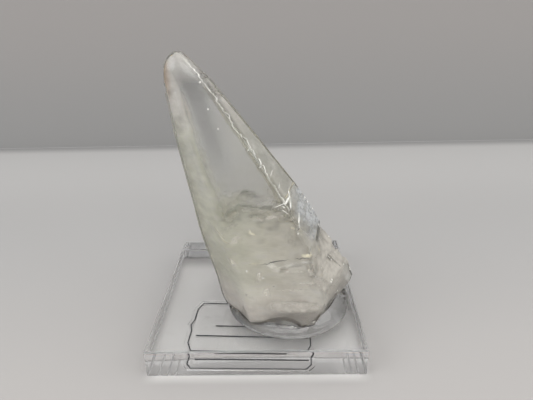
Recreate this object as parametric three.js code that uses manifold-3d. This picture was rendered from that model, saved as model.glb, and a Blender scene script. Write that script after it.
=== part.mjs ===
// A dogtooth calcite specimen: one leaning scalenohedral crystal set in clear glue on a square
// acrylic slab, with a framed film label let into the slab's underside.
//
// Millimetres, +Z up. The origin is the centre of the slab's underside, and -Y is the front.
import * as THREE from "three";
import { mergeVertices } from "three/addons/utils/BufferGeometryUtils.js";
import Module from "manifold-3d";

const wasm = await Module();
wasm.setup();

// The slab: a polished square of clear acrylic sheet.
const SLAB_SIDE = 45;
const SLAB_THICKNESS = 6.35;
const SLAB_CHAMFER = 0.25;

// The label: thin clear film under the slab, with chamfered corners and a small point halfway up each side.
const LABEL = {
  width: 28.6,
  depth: 16.6,
  thickness: 0.1,
  centre: [-1.5, -11.3],
  turn: THREE.MathUtils.degToRad(-2.6),
  cornerAcross: 1.3,
  cornerAlong: 2.6,
  sidePoint: 0.55,
  pointHeight: 1.9,
};
const POCKET_CLEARANCE = 0.3; // around the label's edge
const POCKET_HEADROOM = 0.02; // above the label's face

// The glue: a clear puddle that rises round the crystal's foot.
const GLUE = {
  centre: [7.5, -5.4],
  radius: 13.8,
  rimHeight: 0.45,
  crownHeight: 3.2,
  crownRadius: 10.4,
  wobble: 0.03,
  sides: 56,
  rings: 7,
};
const GLUE_GAP = 0.3; // between the glue and the crystal

// The crystal, as level sections from its broken foot up. Each section gives where its left and
// right edges, its front and back faces and its front ridge stand. Faces are flat between sections.
const SECTIONS = [
  { z: 7.0, left: -7.2, right: 19.2, front: -17.4, back: 4.2, ridge: 11.0 },
  { z: 10.0, left: -8.3, right: 21.3, front: -17.7, back: 5.1, ridge: 13.0 },
  { z: 13.0, left: -9.0, right: 22.0, front: -17.4, back: 5.6, ridge: 14.2 },
  { z: 17.0, left: -9.9, right: 20.4, front: -16.5, back: 5.5, ridge: 14.3 },
  { z: 24.3, left: -11.9, right: 15.8, front: -14.8, back: 4.5, ridge: 11.8 },
  { z: 34.3, left: -13.5, right: 9.5, front: -12.4, back: 2.4, ridge: 6.2 },
  { z: 45.0, left: -15.3, right: 1.5, front: -10.2, back: 0.2, ridge: -0.4 },
  { z: 57.2, left: -16.75, right: -7.7, front: -7.8, back: -2.6, ridge: -8.9 },
  { z: 59.0, left: -16.5, right: -9.3, front: -7.4, back: -3.3, ridge: -10.4 },
  { z: 60.5, left: -15.9, right: -10.8, front: -6.8, back: -3.9, ridge: -11.7 },
  { z: 61.5, left: -14.9, right: -11.9, front: -6.2, back: -4.5, ridge: -12.6 },
  { z: 62.0, left: -14.1, right: -12.5, front: -5.8, back: -4.9, ridge: -13.0 },
];
const TIP = [-13.3, -5.4, 62.2];
const TIP_WEAR = { from: 55.5, over: 5.0, bulge: 0.1 }; // rubbed-down faces, bulging by a share of their width

// The six corners of a section, anticlockwise from above, as shares of its width (0 left, 1 right)
// and of its depth (0 front, 1 back). The front ridge's share of the width comes from its section.
const CORNERS = {
  left: { across: 0.0, deep: 0.45 },
  frontLeft: { across: 0.22, deep: 0.1 },
  frontRidge: { deep: 0.0 },
  right: { across: 1.0, deep: 0.5 },
  backRight: { across: 0.72, deep: 1.0 },
  backLeft: { across: 0.2, deep: 0.92 },
};
const CORNER_ORDER = ["left", "frontLeft", "frontRidge", "right", "backRight", "backLeft"];
const FACE_STEPS = [4, 12, 7, 6, 8, 5]; // points along each face, in the same order
const FRONT_FACE = 1;
const RIGHT_FACE = 2;
const BACK_RIGHT_FACE = 3;

// Growth striations across the right face, near the tip.
const STRIATIONS = { heights: [53.7, 54.5, 55.3, 57.2, 57.9, 58.6], width: 0.5, depth: 0.28 };

// The parting across the front face: above it the surface stands back a little, as a ledge.
const PARTING = { z: 20.4, row: 0.25, rows: 8, from: 0.42, setBack: 0.5, heals: 8.0 };

// Nicks along the front ridge.
const NICKS = { depth: 0.42, spacing: 0.9, below: 59.0 };

// The broken surface: terraces on the splintered shoulder, and a shell-like unevenness round the foot.
const SHOULDER = { low: 13.5, high: 35.0, depth: 0.4, terraces: 3 };
const SHELL = { depth: 0.34, fades: [12.0, 24.0] };

// Where the underside of the foot rises clear of the slab, on the right.
const UNDERSIDE = { from: 12.0, over: 10.0, rise: 2.4, fadesAbove: 14.0 };
const FOOT_RINGS = [0.66, 0.33]; // rings of the broken underside, as shares of its outline
const FOOT_HOLLOW = 0.5;

// The heights at which the crystal's surface has points: close together where it is broken or lined.
const LEVELS = [
  ...steps(SECTIONS[0].z, 13.0, 5),
  ...steps(13.0, PARTING.z, 8),
  ...steps(PARTING.z, PARTING.z + PARTING.row * PARTING.rows, PARTING.rows),
  ...steps(PARTING.z + PARTING.row * PARTING.rows, 36.0, 14),
  ...steps(36.0, 53.0, 6),
  53.0,
  ...STRIATIONS.heights.flatMap((z) => [-0.5, 0, 0.5].map((side) => z + side * STRIATIONS.width)),
  ...steps(59.0, 61.5, 5).slice(1),
  61.5,
  62.0,
];

// Flat breaks: a point on each, the way it faces, and how far it reaches round that point.
const CHIPS = [
  // round the foot
  { at: [17.8, -14.4, 8.6], facing: [0.72, -0.62, -0.32], reach: 8 },
  { at: [10.4, -17.3, 8.2], facing: [0.25, -0.78, -0.57], reach: 6 },
  { at: [-5.4, -14.4, 9.0], facing: [-0.68, -0.64, -0.36], reach: 7 },
  { at: [3.4, -17.4, 8.4], facing: [-0.12, -0.84, -0.53], reach: 9 },
  { at: [-8.6, -2.2, 10.4], facing: [-0.86, 0.2, -0.46], reach: 7 },
  { at: [16.4, 2.6, 11.0], facing: [0.55, 0.7, -0.45], reach: 9 },
  { at: [2.0, 5.1, 12.4], facing: [-0.2, 0.95, -0.25], reach: 8 },
  // down the splintered shoulder, on the right face
  { at: [9.9, -9.0, 30.7], facing: [0.8, -0.42, 0.43], reach: 3.6 },
  { at: [12.9, -6.8, 27.9], facing: [0.86, -0.2, 0.47], reach: 3.2 },
  { at: [10.9, -12.6, 26.2], facing: [0.7, -0.5, 0.51], reach: 3.4 },
  { at: [15.3, -6.8, 23.0], facing: [0.72, -0.2, 0.66], reach: 3.0 },
  { at: [13.2, -12.8, 21.4], facing: [0.76, -0.56, 0.33], reach: 3.6 },
  { at: [17.8, -6.4, 19.0], facing: [0.82, -0.22, 0.53], reach: 2.6 },
  { at: [16.3, -11.4, 17.2], facing: [0.7, -0.45, 0.55], reach: 3.0 },
  // behind the shoulder
  { at: [11.5, -0.8, 24.4], facing: [0.66, 0.6, 0.45], reach: 4.0 },
  { at: [14.0, -2.4, 19.8], facing: [0.76, 0.48, 0.44], reach: 3.4 },
  { at: [3.6, 4.4, 19.0], facing: [0.1, 0.98, 0.16], reach: 4.2 },
];

/** Evenly spaced values from `low`, leaving out `high`. */
function steps(low, high, count) {
  return Array.from({ length: count }, (_, i) => low + ((high - low) * i) / count);
}

/** A repeatable number from 0 to 1 for a pair of whole numbers. */
function speckle(i, j) {
  const v = Math.sin(i * 127.1 + j * 311.7) * 43758.5453;
  return v - Math.floor(v);
}

/** Smooth noise from -1 to 1. */
function noise(x, y) {
  const i = Math.floor(x);
  const j = Math.floor(y);
  const u = THREE.MathUtils.smoothstep(x - i, 0, 1);
  const v = THREE.MathUtils.smoothstep(y - j, 0, 1);
  const low = THREE.MathUtils.lerp(speckle(i, j), speckle(i + 1, j), u);
  const high = THREE.MathUtils.lerp(speckle(i, j + 1), speckle(i + 1, j + 1), u);
  return 2 * THREE.MathUtils.lerp(low, high, v) - 1;
}

/** The section at height z, between the two that are given. */
function sectionAt(z) {
  const above = Math.max(1, SECTIONS.findIndex((s) => s.z >= z));
  const [a, b] = [SECTIONS[above - 1], SECTIONS[above]];
  const share = (z - a.z) / (b.z - a.z);
  return Object.fromEntries(Object.keys(a).map((key) => [key, THREE.MathUtils.lerp(a[key], b[key], share)]));
}

/** Where a named corner of the crystal stands at height z, let out sideways by `clearance`. */
function cornerAt(name, z, clearance) {
  const s = sectionAt(z);
  const { across, deep } = CORNERS[name];
  const x = name === "frontRidge" ? s.ridge : THREE.MathUtils.lerp(s.left, s.right, across);
  const y = THREE.MathUtils.lerp(s.front, s.back, deep);
  const outward = new THREE.Vector2(x - (s.left + s.right) / 2, y - (s.front + s.back) / 2);
  const nicked = name === "frontRidge" && z < NICKS.below;
  const nick = nicked ? Math.max(0, noise(z * NICKS.spacing, 7)) ** 2 * NICKS.depth : 0;
  return new THREE.Vector2(x, y).addScaledVector(outward, (clearance - nick) / Math.max(outward.length(), 1));
}

/** How far the growth striations are cut in at height z. */
function striationDepth(z) {
  const { heights, width, depth } = STRIATIONS;
  return heights.some((h) => Math.abs(z - h) < width / 4) ? depth : 0;
}

/** How far the splintered shoulder stands back at a share along a face and a height. */
function shoulderDepth(share, z) {
  const { low, high, depth, terraces } = SHOULDER;
  if (z < low || z > high) return 0;
  const fade = Math.sin((Math.PI * (z - low)) / (high - low));
  const rough = 0.5 + 0.5 * noise(share * 5 + z * 0.32, z * 0.41);
  return (Math.round(rough * terraces) / terraces) * depth * fade * Math.sin(Math.PI * share);
}

/** How far the front face stands back above the parting, which climbs by one row at a time. */
function partingDepth(share, z) {
  const { z: lowest, row, rows, from, setBack, heals } = PARTING;
  const climb = THREE.MathUtils.smoothstep(share, from, 1) + 0.15 * noise(share * 14, 3);
  const height = lowest + row * Math.round((rows - 1) * climb) + row / 2;
  if (share < from || z < height) return 0;
  return setBack * (1 - THREE.MathUtils.smoothstep(z, height, height + heals));
}

/** How far a point of a face stands back from the flat, on a face of the given width. */
function relief(face, share, z, width) {
  const inside = Math.sin(Math.PI * share);
  const broken = 1 - THREE.MathUtils.smoothstep(z, ...SHELL.fades);
  const shell = SHELL.depth * inside * broken * (0.6 + noise(share * 3.1 + face * 5, z * 0.23));
  const wear = THREE.MathUtils.smoothstep(z, TIP_WEAR.from, TIP_WEAR.from + TIP_WEAR.over);
  const worn = shell - TIP_WEAR.bulge * wear * width * inside;
  if (face === FRONT_FACE) return worn + partingDepth(share, z);
  if (face === RIGHT_FACE) return worn + striationDepth(z) * inside ** 0.3 + shoulderDepth(share, z);
  if (face === BACK_RIGHT_FACE) return worn + 0.7 * shoulderDepth(share, z + 3);
  return worn;
}

/** The crystal's outline at height z, let out sideways by `clearance`. */
function outlineAt(z, clearance) {
  const points = [];
  CORNER_ORDER.forEach((name, face) => {
    const a = cornerAt(name, z, clearance);
    const b = cornerAt(CORNER_ORDER[(face + 1) % CORNER_ORDER.length], z, clearance);
    const along = b.clone().sub(a);
    const inward = new THREE.Vector2(-along.y, along.x).normalize();
    for (let i = 0; i < FACE_STEPS[face]; i++) {
      const share = i / FACE_STEPS[face];
      const back = i === 0 ? 0 : relief(face, share, z, along.length());
      const p = a.clone().lerp(b, share).addScaledVector(inward, back);
      points.push([p.x, p.y, z + undersideRise(p.x, z)]);
    }
  });
  return points;
}

/** How far the underside lifts the low levels at x. */
function undersideRise(x, z) {
  const { from, over, rise, fadesAbove } = UNDERSIDE;
  const fade = 1 - THREE.MathUtils.smoothstep(z, SECTIONS[0].z, fadesAbove);
  return rise * THREE.MathUtils.smoothstep(x, from, from + over) * fade;
}

/** The crystal's closed surface, let out by `clearance` on its sides and its underside. */
function toothGeometry(clearance = 0) {
  const rings = LEVELS.map((z) => outlineAt(z, clearance));
  rings[0] = rings[0].map(([x, y, z]) => [x, y, z - clearance]);
  const foot = rings[0];
  const count = foot.length;
  const centre = foot.reduce((sum, p) => sum.map((v, k) => v + p[k] / count), [0, 0, 0]);
  const footRings = FOOT_RINGS.map((share, ring) =>
    foot.map(([x, y, z], i) => [
      THREE.MathUtils.lerp(centre[0], x, share),
      THREE.MathUtils.lerp(centre[1], y, share),
      THREE.MathUtils.lerp(centre[2], z, share) + FOOT_HOLLOW * (0.5 + 0.5 * noise(i * 0.4, ring * 3)),
    ]),
  );
  const all = [...footRings.reverse(), ...rings];
  const bottom = [centre[0], centre[1], centre[2] + FOOT_HOLLOW];
  const positions = [...all.flat(), bottom, [...TIP]].flat();
  const bottomIndex = all.length * count;
  const tipIndex = bottomIndex + 1;
  const index = [];
  for (let i = 0; i < count; i++) {
    const next = (i + 1) % count;
    index.push(bottomIndex, next, i);
    for (let ring = 0; ring + 1 < all.length; ring++) {
      const low = ring * count;
      const high = low + count;
      index.push(low + i, low + next, high + next, low + i, high + next, high + i);
    }
    const top = (all.length - 1) * count;
    index.push(top + i, top + next, tipIndex);
  }
  return indexed(positions, index);
}

/** A geometry from flat lists of positions and triangle corners. */
function indexed(positions, index) {
  const geometry = new THREE.BufferGeometry();
  geometry.setAttribute("position", new THREE.Float32BufferAttribute(positions, 3));
  geometry.setIndex(index);
  return geometry;
}

/** A closed geometry as a solid that can be cut and joined. */
function solid(geometry) {
  const bare = geometry.clone();
  bare.deleteAttribute("normal");
  bare.deleteAttribute("uv");
  const merged = mergeVertices(bare, 1e-4);
  return new wasm.Manifold(
    new wasm.Mesh({
      numProp: 3,
      vertProperties: merged.attributes.position.array,
      triVerts: new Uint32Array(merged.index.array),
    }),
  );
}

/** A solid back as a geometry. */
function geometryOf(body) {
  const { numProp, numVert, vertProperties, triVerts } = body.getMesh();
  const positions = [];
  for (let i = 0; i < numVert; i++) {
    positions.push(...vertProperties.slice(i * numProp, i * numProp + 3));
  }
  return indexed(positions, [...triVerts]);
}

/** The same geometry with its +Z side turned to face a given way. */
function facing(geometry, direction) {
  const outward = new THREE.Vector3(...direction).normalize();
  const turn = new THREE.Quaternion().setFromUnitVectors(new THREE.Vector3(0, 0, 1), outward);
  return geometry.applyQuaternion(turn);
}

/** A block whose lower face lies on a chip's cut, so that taking it away leaves that flat face. */
function chipBlock(chip) {
  const block = new THREE.BoxGeometry(2 * chip.reach, 2 * chip.reach, chip.reach);
  block.translate(0, 0, chip.reach / 2);
  return solid(facing(block, chip.facing).translate(...chip.at));
}

/** The calcite crystal. */
function crystalGeometry() {
  const whole = solid(toothGeometry());
  return geometryOf(CHIPS.reduce((body, chip) => body.subtract(chipBlock(chip)), whole));
}

/** The glue puddle, hollowed where the crystal's foot stands in it. */
function glueGeometry() {
  const { centre, radius, rimHeight, crownHeight, crownRadius, wobble, sides, rings } = GLUE;
  const profile = [[0, 0]];
  profile.push([radius, 0]);
  for (let i = 0; i <= rings; i++) {
    const share = i / rings;
    const swell = 1 - Math.cos((Math.PI / 2) * share);
    profile.push([
      THREE.MathUtils.lerp(radius, crownRadius, share ** 0.8),
      THREE.MathUtils.lerp(rimHeight, crownHeight, swell),
    ]);
  }
  profile.push([0, crownHeight]);
  const puddle = new THREE.LatheGeometry(
    profile.map(([r, h]) => new THREE.Vector2(r, h)),
    sides,
  );
  puddle.rotateX(Math.PI / 2);
  const position = puddle.attributes.position;
  for (let i = 0; i < position.count; i++) {
    const angle = Math.atan2(position.getY(i), position.getX(i));
    const spread = 1 + wobble * (Math.sin(2 * angle + 0.6) + 0.6 * Math.sin(3 * angle - 1.1));
    position.setX(i, position.getX(i) * spread);
    position.setY(i, position.getY(i) * spread);
  }
  puddle.translate(centre[0], centre[1], SLAB_THICKNESS);
  return geometryOf(solid(puddle).subtract(solid(toothGeometry(GLUE_GAP))));
}

/** The label's outline, let out by `clearance`. */
function labelShape(clearance = 0) {
  const { width, depth, cornerAcross, cornerAlong, sidePoint, pointHeight, centre, turn } = LABEL;
  const x = width / 2 - sidePoint + clearance;
  const y = depth / 2 + clearance;
  const quarter = [
    [x + sidePoint, 0],
    [x, pointHeight],
    [x, y - cornerAlong],
    [x - cornerAcross, y],
  ];
  const right = [...quarter.slice(1).reverse().map(([a, b]) => [a, -b]), ...quarter];
  const outline = [...right, ...right.map(([a, b]) => [-a, -b])];
  const around = new THREE.Vector2(0, 0);
  return new THREE.Shape(
    outline.map(([a, b]) => {
      const p = new THREE.Vector2(a, b).rotateAround(around, turn);
      return p.add(new THREE.Vector2(...centre));
    }),
  );
}

/** A flat plate of the label's outline, from the underside up. */
function labelPlate(thickness, clearance = 0) {
  return new THREE.ExtrudeGeometry(labelShape(clearance), { depth: thickness, bevelEnabled: false });
}

/** The slab, with polished edges and a shallow pocket for the label. */
function slabGeometry() {
  const half = SLAB_SIDE / 2 - SLAB_CHAMFER;
  const square = new THREE.Shape([
    new THREE.Vector2(-half, -half),
    new THREE.Vector2(half, -half),
    new THREE.Vector2(half, half),
    new THREE.Vector2(-half, half),
  ]);
  const block = new THREE.ExtrudeGeometry(square, {
    depth: SLAB_THICKNESS - 2 * SLAB_CHAMFER,
    bevelThickness: SLAB_CHAMFER,
    bevelSize: SLAB_CHAMFER,
    bevelSegments: 1,
  });
  block.translate(0, 0, SLAB_CHAMFER);
  const pocketDepth = LABEL.thickness + POCKET_HEADROOM;
  const pocket = labelPlate(pocketDepth + 1, POCKET_CLEARANCE);
  pocket.translate(0, 0, -1);
  return geometryOf(solid(block).subtract(solid(pocket)));
}

/** A named mesh with its own finish. */
function piece(name, geometry, finish) {
  const mesh = new THREE.Mesh(geometry, new THREE.MeshStandardMaterial(finish));
  mesh.name = name;
  return mesh;
}

const specimen = new THREE.Group();
specimen.add(
  piece("crystal", crystalGeometry(), { color: 0xcfd0c4, roughness: 0.15, metalness: 0 }),
  piece("glue", glueGeometry(), { color: 0xe4e6e4, roughness: 0.08, metalness: 0 }),
  piece("slab", slabGeometry(), { color: 0xe9ecec, roughness: 0.04, metalness: 0 }),
  piece("label", labelPlate(LABEL.thickness), { color: 0xf2f2ee, roughness: 0.3, metalness: 0 }),
);

export default specimen;
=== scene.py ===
"""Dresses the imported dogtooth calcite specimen: crystal, glue, acrylic slab and framed label.

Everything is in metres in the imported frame: the origin is under the middle of the slab, +Z is up
and -Y is the front. Lengths that come from the specimen are written in millimetres, times MM.
"""

import logging
import math
from dataclasses import dataclass
from enum import Enum, IntEnum

import bmesh
import bpy
from mathutils import Matrix, Vector, noise
from mathutils.bvhtree import BVHTree


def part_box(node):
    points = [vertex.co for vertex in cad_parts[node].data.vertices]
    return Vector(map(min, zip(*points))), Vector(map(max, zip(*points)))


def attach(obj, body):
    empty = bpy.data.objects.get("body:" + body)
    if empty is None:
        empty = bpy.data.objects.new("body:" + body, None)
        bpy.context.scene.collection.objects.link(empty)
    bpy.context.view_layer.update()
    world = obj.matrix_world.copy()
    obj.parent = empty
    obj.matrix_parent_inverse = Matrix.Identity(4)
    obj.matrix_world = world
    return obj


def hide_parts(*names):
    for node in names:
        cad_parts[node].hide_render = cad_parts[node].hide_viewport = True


LOG = logging.getLogger("specimen")
MM = 0.001
ROOT = "root"
# The value at each corner that fades a patch out
FADE = "fade"
# Slanting directions on the crystal's front: over the ridge, off the left edge and up from the foot
RIDGEWARD = (1.0, 0.0, 0.645)
EDGEWARD = (1.0, 0.0, 0.265)
BASEWARD = (-0.25, 0.0, 1.0)

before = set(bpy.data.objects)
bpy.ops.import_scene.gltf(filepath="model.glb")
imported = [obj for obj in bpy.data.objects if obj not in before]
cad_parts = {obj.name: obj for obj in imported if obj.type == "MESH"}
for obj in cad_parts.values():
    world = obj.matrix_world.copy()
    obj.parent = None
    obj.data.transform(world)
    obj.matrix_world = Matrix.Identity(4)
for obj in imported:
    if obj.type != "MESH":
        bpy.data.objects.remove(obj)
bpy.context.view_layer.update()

Socket = bpy.types.NodeSocket
Material = bpy.types.Material
BMesh = bmesh.types.BMesh
BMVert, BMEdge, BMFace = bmesh.types.BMVert, bmesh.types.BMEdge, bmesh.types.BMFace


class Axis(Enum):
    """The object axis that a gradient follows."""

    X = "X"
    Y = "Y"
    Z = "Z"


class Layer(IntEnum):
    """The crystal's finishes, in the order of its material slots."""

    CLEAR = 0
    BRUISED = 1
    CLOUD = 2
    CORE = 3
    VEIL = 4
    # Painted shade: the dark line of a crack.
    SEAM = 5
    # Yellow stains, and one painted yellowish highlight.
    STAIN = 6
    WISP = 7
    FROST = 8
    DUSK = 9
    # Painted highlights, with some white nicks and scratches.
    GLINT = 10
    CREAM = 11


SOFT = (Layer.WISP, Layer.DUSK)
BROAD = (Layer.FROST, Layer.CREAM)


def between(value: float, table: tuple) -> float:
    """Reads a table of rising inputs and their outputs, straight between its rows.

    Args:
        value: The input.
        table: Pairs of input and output.

    Returns:
        The output, held at the table's ends.
    """
    if value <= table[0][0]:
        return table[0][1]
    for (low, start), (high, end) in zip(table, table[1:]):
        if value <= high:
            return start + (end - start) * (value - low) / (high - low)
    return table[-1][1]


def held(value: float, low: float = 0.0, high: float = 1.0) -> float:
    """Returns a value, held between two limits."""
    return min(high, max(low, value))


def picked(parts: list, kind: type) -> list:
    """Returns the parts of a mesh that are of one kind."""
    return [part for part in parts if isinstance(part, kind)]


def smoothed(bm: BMesh) -> None:
    """Shades all of a mesh's faces smooth."""
    for face in bm.faces:
        face.smooth = True


def around(vert: BMVert) -> list:
    """Returns the vertices joined to one by an edge."""
    return [edge.other_vert(vert) for edge in vert.link_edges]


def new_piece(name: str, bm: BMesh, materials: list) -> bpy.types.Object:
    """Turns a bmesh into an object at the origin.

    Args:
        name: The piece's name.
        bm: The mesh, which is freed.
        materials: The finishes, in the order of the faces' slots.

    Returns:
        The new object, linked to the scene.
    """
    mesh = bpy.data.meshes.new(name)
    bm.to_mesh(mesh)
    bm.free()
    mesh.validate()
    for material in materials:
        mesh.materials.append(material)
    piece = bpy.data.objects.new(name, mesh)
    bpy.context.scene.collection.objects.link(piece)
    return piece


def stand_for(piece: bpy.types.Object, node: str) -> None:
    """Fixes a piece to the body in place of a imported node.

    Args:
        piece: The new piece.
        node: The node that it replaces.
    """
    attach(piece, ROOT)
    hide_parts(node)


def packed_mesh(node: str) -> BMesh:
    """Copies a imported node's mesh, with its corners merged.

    Args:
        node: The node's name.

    Returns:
        The copy.
    """
    bm = bmesh.new()
    bm.from_mesh(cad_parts[node].data)
    bmesh.ops.remove_doubles(bm, verts=bm.verts, dist=1e-6)
    return bm


class Grain:
    """The shared grain: fine and coarse noise over a piece's own coordinates."""

    NAME = "surface_grain"
    SOCKETS = (
        ("Vector", "INPUT", "NodeSocketVector"),
        ("Fine Scale", "INPUT", "NodeSocketFloat"),
        ("Coarse Scale", "INPUT", "NodeSocketFloat"),
        ("Fine", "OUTPUT", "NodeSocketFloat"),
        ("Coarse", "OUTPUT", "NodeSocketFloat"),
        ("Mixed", "OUTPUT", "NodeSocketFloat"),
    )

    @classmethod
    def tree(cls) -> bpy.types.NodeTree:
        """Builds the node group on first use.

        Returns:
            The node group.
        """
        found = bpy.data.node_groups.get(cls.NAME)
        if found:
            return found
        tree = bpy.data.node_groups.new(cls.NAME, "ShaderNodeTree")
        for name, side, kind in cls.SOCKETS:
            tree.interface.new_socket(name=name, in_out=side, socket_type=kind)
        entry = tree.nodes.new("NodeGroupInput")
        end = tree.nodes.new("NodeGroupOutput")
        values = {}
        for name, detail in (("Fine", 3.0), ("Coarse", 2.0)):
            texture = tree.nodes.new("ShaderNodeTexNoise")
            texture.inputs["Detail"].default_value = detail
            tree.links.new(entry.outputs["Vector"], texture.inputs["Vector"])
            tree.links.new(entry.outputs[f"{name} Scale"], texture.inputs["Scale"])
            tree.links.new(texture.outputs["Fac"], end.inputs[name])
            values[name] = texture.outputs["Fac"]
        mixed = tree.nodes.new("ShaderNodeMath")
        mixed.operation = "MULTIPLY"
        for socket, value in zip(mixed.inputs, values.values()):
            tree.links.new(value, socket)
        tree.links.new(mixed.outputs["Value"], end.inputs["Mixed"])
        return tree


class Shader:
    """A material's node tree with its Principled shader, and short ways to add to it."""

    def __init__(self, name: str) -> None:
        """Starts a material with a Principled shader and Object coordinates.

        Args:
            name: The material's name.
        """
        self.material = bpy.data.materials.new(name)
        self.material.use_nodes = True
        self.nodes = self.material.node_tree.nodes
        self.links = self.material.node_tree.links
        self.surface = self.nodes["Principled BSDF"]
        self.output = self.nodes["Material Output"]
        coordinates = self.nodes.new("ShaderNodeTexCoord").outputs
        self.place = coordinates["Object"]
        self.normal = coordinates["Normal"]

    def set(self, **values: object) -> None:
        """Sets constant sockets of the shader; an underscore in a name stands for a space."""
        for name, value in values.items():
            self.surface.inputs[name.replace("_", " ")].default_value = value

    def grain(self, fine: float, coarse: float, stretch: tuple = (1.0, 1.0, 1.0)) -> dict:
        """Adds the shared grain.

        Args:
            fine: Fine ripples per metre.
            coarse: Coarse patches per metre.
            stretch: How much denser the grain is along each axis.

        Returns:
            The group's outputs by name: Fine, Coarse and Mixed.
        """
        mapping = self.nodes.new("ShaderNodeMapping")
        mapping.inputs["Scale"].default_value = stretch
        self.links.new(self.place, mapping.inputs["Vector"])
        group = self.nodes.new("ShaderNodeGroup")
        group.node_tree = Grain.tree()
        group.inputs["Fine Scale"].default_value = fine
        group.inputs["Coarse Scale"].default_value = coarse
        self.links.new(mapping.outputs["Vector"], group.inputs["Vector"])
        return {socket.name: socket for socket in group.outputs}

    def ramp(self, factor: Socket, stops: list) -> Socket:
        """Adds a colour ramp.

        Args:
            factor: What drives the ramp.
            stops: Pairs of position and RGB colour or grey level.

        Returns:
            The colour's socket.
        """
        node = self.nodes.new("ShaderNodeValToRGB")
        elements = node.color_ramp.elements
        while len(elements) < len(stops):
            elements.new(0.5)
        for element, (position, colour) in zip(elements, stops):
            element.position = position
            rgb = (colour,) * 3 if isinstance(colour, (int, float)) else colour
            element.color = (*rgb, 1.0)
        self.links.new(factor, node.inputs["Fac"])
        return node.outputs["Color"]

    def step(self, value: Socket, low: float, high: float) -> Socket:
        """Adds a smooth rise from 0 to 1, or a fall where low is above high.

        Args:
            value: What drives it.
            low: The value that gives 0.
            high: The value that gives 1.

        Returns:
            The result's socket, held between 0 and 1.
        """
        span = self.nodes.new("ShaderNodeMapRange")
        span.interpolation_type = "SMOOTHSTEP"
        span.inputs["From Min"].default_value = min(low, high)
        span.inputs["From Max"].default_value = max(low, high)
        self.links.new(value, span.inputs["Value"])
        result = span.outputs["Result"]
        return result if low < high else self.math("SUBTRACT", 1.0, result)

    def rings(self, centre: tuple, scale: float) -> Socket:
        """Adds uneven rings round a point.

        Args:
            centre: The point, in metres.
            scale: How close the rings are.

        Returns:
            The pattern's socket, from 0 to 1.
        """
        mapping = self.nodes.new("ShaderNodeMapping")
        mapping.inputs["Location"].default_value = [-value for value in centre]
        self.links.new(self.place, mapping.inputs["Vector"])
        wave = self.nodes.new("ShaderNodeTexWave")
        wave.wave_type = "RINGS"
        wave.rings_direction = "Y"
        wave.inputs["Scale"].default_value = scale
        wave.inputs["Distortion"].default_value = 5.0
        wave.inputs["Detail Scale"].default_value = 1.3
        self.links.new(mapping.outputs["Vector"], wave.inputs["Vector"])
        return wave.outputs["Fac"]

    def attribute(self, name: str) -> Socket:
        """Reads a value that the mesh stores at its corners.

        Args:
            name: The value's name.

        Returns:
            The value's socket.
        """
        node = self.nodes.new("ShaderNodeAttribute")
        node.attribute_name = name
        return node.outputs["Fac"]

    def dot(self, vector: Socket, way: tuple) -> Socket:
        """Adds a dot product.

        Args:
            vector: The vector's socket.
            way: The direction, in the object's axes.

        Returns:
            The product's socket.
        """
        node = self.nodes.new("ShaderNodeVectorMath")
        node.operation = "DOT_PRODUCT"
        self.links.new(vector, node.inputs[0])
        node.inputs[1].default_value = way
        return node.outputs["Value"]

    def facing(self, way: tuple, low: float, high: float) -> Socket:
        """Adds a mask for faces that look one way.

        Args:
            way: The direction, of length 1, in the object's axes.
            low: The cosine that gives 0.
            high: The cosine that gives 1.

        Returns:
            The mask's socket.
        """
        return self.step(self.dot(self.normal, way), low, high)

    def beyond(self, way: tuple, low: float, high: float) -> Socket:
        """Adds a mask by how far a place lies along a slanting direction.

        Args:
            way: The direction, in the object's axes.
            low: The distance that gives 0, in metres.
            high: The distance that gives 1, in metres.

        Returns:
            The mask's socket.
        """
        return self.step(self.dot(self.place, way), low, high)

    def along(
        self, axis: Axis, low: float, high: float, wobble: Socket = None, reach: float = 0.0
    ) -> Socket:
        """Adds a smooth gradient along an axis of the object.

        Args:
            axis: The axis to follow.
            low: Where the gradient is 0, in metres.
            high: Where the gradient is 1, in metres; it may lie below low.
            wobble: Noise from 0 to 1 that shifts the gradient to and fro.
            reach: The whole width of that shift, in metres.

        Returns:
            The gradient's socket, held between 0 and 1.
        """
        split = self.nodes.new("ShaderNodeSeparateXYZ")
        self.links.new(self.place, split.inputs["Vector"])
        value = split.outputs[axis.value]
        if wobble is not None:
            shift = self.math("MULTIPLY_ADD", wobble, reach, -reach / 2, clamp=False)
            value = self.math("ADD", value, shift, clamp=False)
        return self.step(value, low, high)

    def math(self, operation: str, *values: object, clamp: bool = True) -> Socket:
        """Adds a Math node of sockets or numbers.

        Args:
            operation: The node's operation.
            values: Its inputs, in order.
            clamp: Whether the result is held between 0 and 1.

        Returns:
            The result's socket.
        """
        node = self.nodes.new("ShaderNodeMath")
        node.operation = operation
        node.use_clamp = clamp
        for socket, value in zip(node.inputs, values):
            if isinstance(value, Socket):
                self.links.new(value, socket)
            else:
                socket.default_value = value
        return node.outputs["Value"]

    def chain(self, operation: str, values: tuple) -> Socket:
        """Joins several values by one operation, two at a time, in order.

        Args:
            operation: The Math node's operation.
            values: Sockets or numbers.

        Returns:
            The result's socket.
        """
        result = values[0]
        for value in values[1:]:
            result = self.math(operation, result, value)
        return result

    def times(self, *values: object) -> Socket:
        """Multiplies sockets and numbers."""
        return self.chain("MULTIPLY", values)

    def most(self, *values: object) -> Socket:
        """Takes the highest of sockets and numbers."""
        return self.chain("MAXIMUM", values)

    def mix(self, factor: Socket, low: object, high: object) -> Socket:
        """Mixes two colours.

        Args:
            factor: 0 for the first colour, 1 for the second.
            low: The first colour or its socket.
            high: The second colour or its socket.

        Returns:
            The mixed colour's socket.
        """
        node = self.nodes.new("ShaderNodeMix")
        node.data_type = "RGBA"
        self.links.new(factor, node.inputs["Factor"])
        for socket, value in zip((node.inputs[6], node.inputs[7]), (low, high)):
            if isinstance(value, Socket):
                self.links.new(value, socket)
            else:
                socket.default_value = (*value, 1.0)
        return node.outputs[2]

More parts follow.
